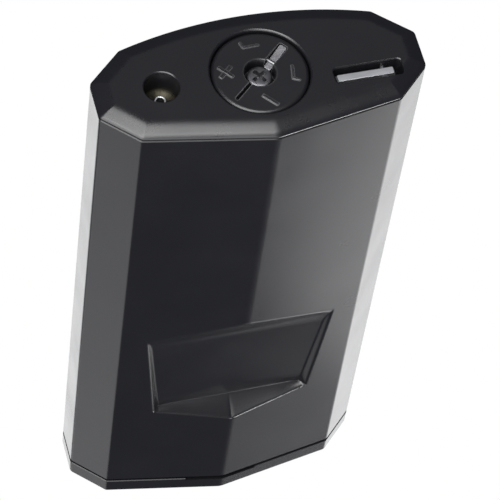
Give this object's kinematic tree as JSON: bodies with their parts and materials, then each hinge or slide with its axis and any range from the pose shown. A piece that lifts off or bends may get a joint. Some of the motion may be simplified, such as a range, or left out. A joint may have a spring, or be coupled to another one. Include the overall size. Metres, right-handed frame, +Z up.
{
  "type": "pocket torch lighter",
  "caption": "Pocket butane torch lighter with a faceted black casing, hinged lid, thumb recess, flame dial, refill valve and a fold-out pick in its base.",
  "frame": {"origin": "centre of the base face, on which the lighter stands", "axes": "+Z up from the base to the lid, +X along the width of the casing towards the refill well, -Y towards the front with the ridge and the thumb recess"},
  "size_m": [0.04, 0.018, 0.088],
  "materials": {
    "casing_black": "satin black coating",
    "base_black": "semi-matte black coating",
    "dial_black": "moulded, slightly grained",
    "plastic_black": "moulded",
    "plastic_white": "moulded",
    "tank_plastic": "smoky translucent moulding",
    "bright_steel": "bright, lightly brushed",
    "spring_steel": "drawn wire",
    "screw_steel": "plated",
    "brass": "turned",
    "zinc": "cast",
    "rubber": "matt",
    "ceramic": "glazed",
    "lead_red": "insulation"
  },
  "bodies": {
    "casing": {"body_shell": "casing_black", "base_plate": "base_black", "top_deck": "plastic_black", "hinge_pin": "spring_steel", "lid_cam_spring": "spring_steel", "fuel_tank": "tank_plastic", "refill_valve_body": "brass", "refill_spring": "spring_steel", "refill_seal": "rubber", "spindle_seal": "rubber", "flow_valve_body": "brass", "riser_tube": "brass", "pick_pin": "spring_steel", "chassis": "plastic_black", "deck_screws": "screw_steel", "outlet_valve_body": "brass", "outlet_seal": "rubber", "outlet_spring": "spring_steel", "gas_lever_pin": "spring_steel", "burner_block": "zinc", "jet_nozzles": "brass", "wind_guard": "bright_steel", "piezo_case": "plastic_white", "piezo_spring": "spring_steel", "electrode_insulator": "ceramic", "spark_electrode": "bright_steel", "spark_lead": "lead_red"},
    "lid": {"lid": "casing_black", "lid_liner": "plastic_black"},
    "dial": {"flame_dial": "dial_black", "dial_screw": "screw_steel", "flow_spindle": "brass", "lever_pin": "spring_steel"},
    "dial_lever": {"dial_lever": "bright_steel"},
    "pick": {"fold_out_pick": "bright_steel"},
    "refill_stem": {"refill_stem": "bright_steel"},
    "button": {"ignition_button": "plastic_black"},
    "piezo_plunger": {"piezo_plunger": "plastic_black"},
    "gas_lever": {"gas_lever": "bright_steel"},
    "outlet_stem": {"outlet_stem": "brass"}
  },
  "joints": [
    {"name": "lid_hinge", "type": "hinge", "parent": "casing", "child": "lid", "pos_m": [0, 0.0082, 0.08435], "axis": [-1, 0, 0], "range_deg": [0, 100]},
    {"name": "dial_turn", "type": "hinge", "parent": "casing", "child": "dial", "pos_m": [0, 0, 0.001], "axis": [0, 0, 1], "range_deg": [-150, 150]},
    {"name": "dial_lever_fold", "type": "hinge", "parent": "dial", "child": "dial_lever", "pos_m": [-0.00181, 0.00157, 0.0008], "axis": [-0.6561, -0.7547, 0], "range_deg": [0, 100]},
    {"name": "pick_fold", "type": "hinge", "parent": "casing", "child": "pick", "pos_m": [-0.015, -0.0024, 0.002], "axis": [0, 1, 0], "range_deg": [0, 95]},
    {"name": "refill_press", "type": "slide", "parent": "casing", "child": "refill_stem", "axis": [0, 0, 1], "range_m": [0, 0.0012], "stiffness_N_per_m": 300, "deforming": ["refill_spring"]},
    {"name": "button_press", "type": "slide", "parent": "casing", "child": "button", "axis": [0, 0, -1], "range_m": [0, 0.0024], "stiffness_N_per_m": 1500},
    {"name": "piezo_press", "type": "slide", "parent": "casing", "child": "piezo_plunger", "axis": [0, 0, -1], "range_m": [0, 0.0024], "deforming": ["piezo_spring"]},
    {"name": "lever_rock", "type": "hinge", "parent": "casing", "child": "gas_lever", "pos_m": [-0.0024, 0, 0.057], "axis": [0, -1, 0], "range_deg": [0, 24.6]},
    {"name": "outlet_lift", "type": "slide", "parent": "casing", "child": "outlet_stem", "axis": [0, 0, 1], "range_m": [0, 0.001], "deforming": ["outlet_spring"]}
  ],
  "couplings": [
    {"joint": "piezo_press", "follows": "button_press", "ratio": 1},
    {"joint": "lever_rock", "follows": "button_press", "rad_per_m": 178.5},
    {"joint": "outlet_lift", "follows": "button_press", "ratio": 0.4}
  ]
}
